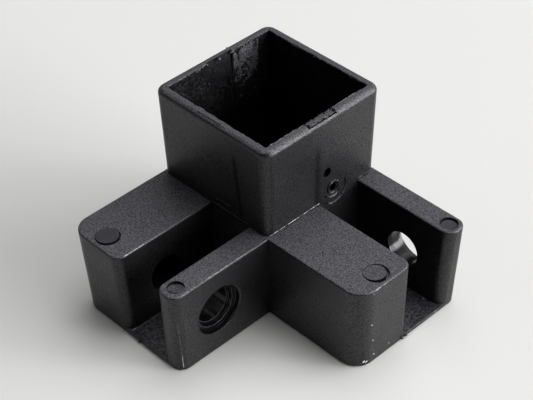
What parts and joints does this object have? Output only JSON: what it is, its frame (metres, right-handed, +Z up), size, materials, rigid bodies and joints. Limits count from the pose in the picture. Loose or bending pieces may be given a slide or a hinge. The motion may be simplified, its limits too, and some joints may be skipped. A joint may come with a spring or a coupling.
{
  "type": "corner tube fitting",
  "caption": "Moulded corner fitting: a square socket for a leg tube, and clevis arms at a right angle with bores for truss-bar pivots.",
  "frame": {"origin": "on the leg tube's axis, at the flat closed end that the fitting stands on", "axes": "+Z up the leg socket towards its open rim; one arm runs to +X and the other to -Y"},
  "size_m": [0.0525, 0.0525, 0.039],
  "materials": {
    "moulded_nylon": "black glass-filled nylon, fine spark-eroded grain outside, polished in the pivot bores"
  },
  "bodies": {
    "root": {"corner_fitting": "moulded_nylon"}
  },
  "joints": []
}
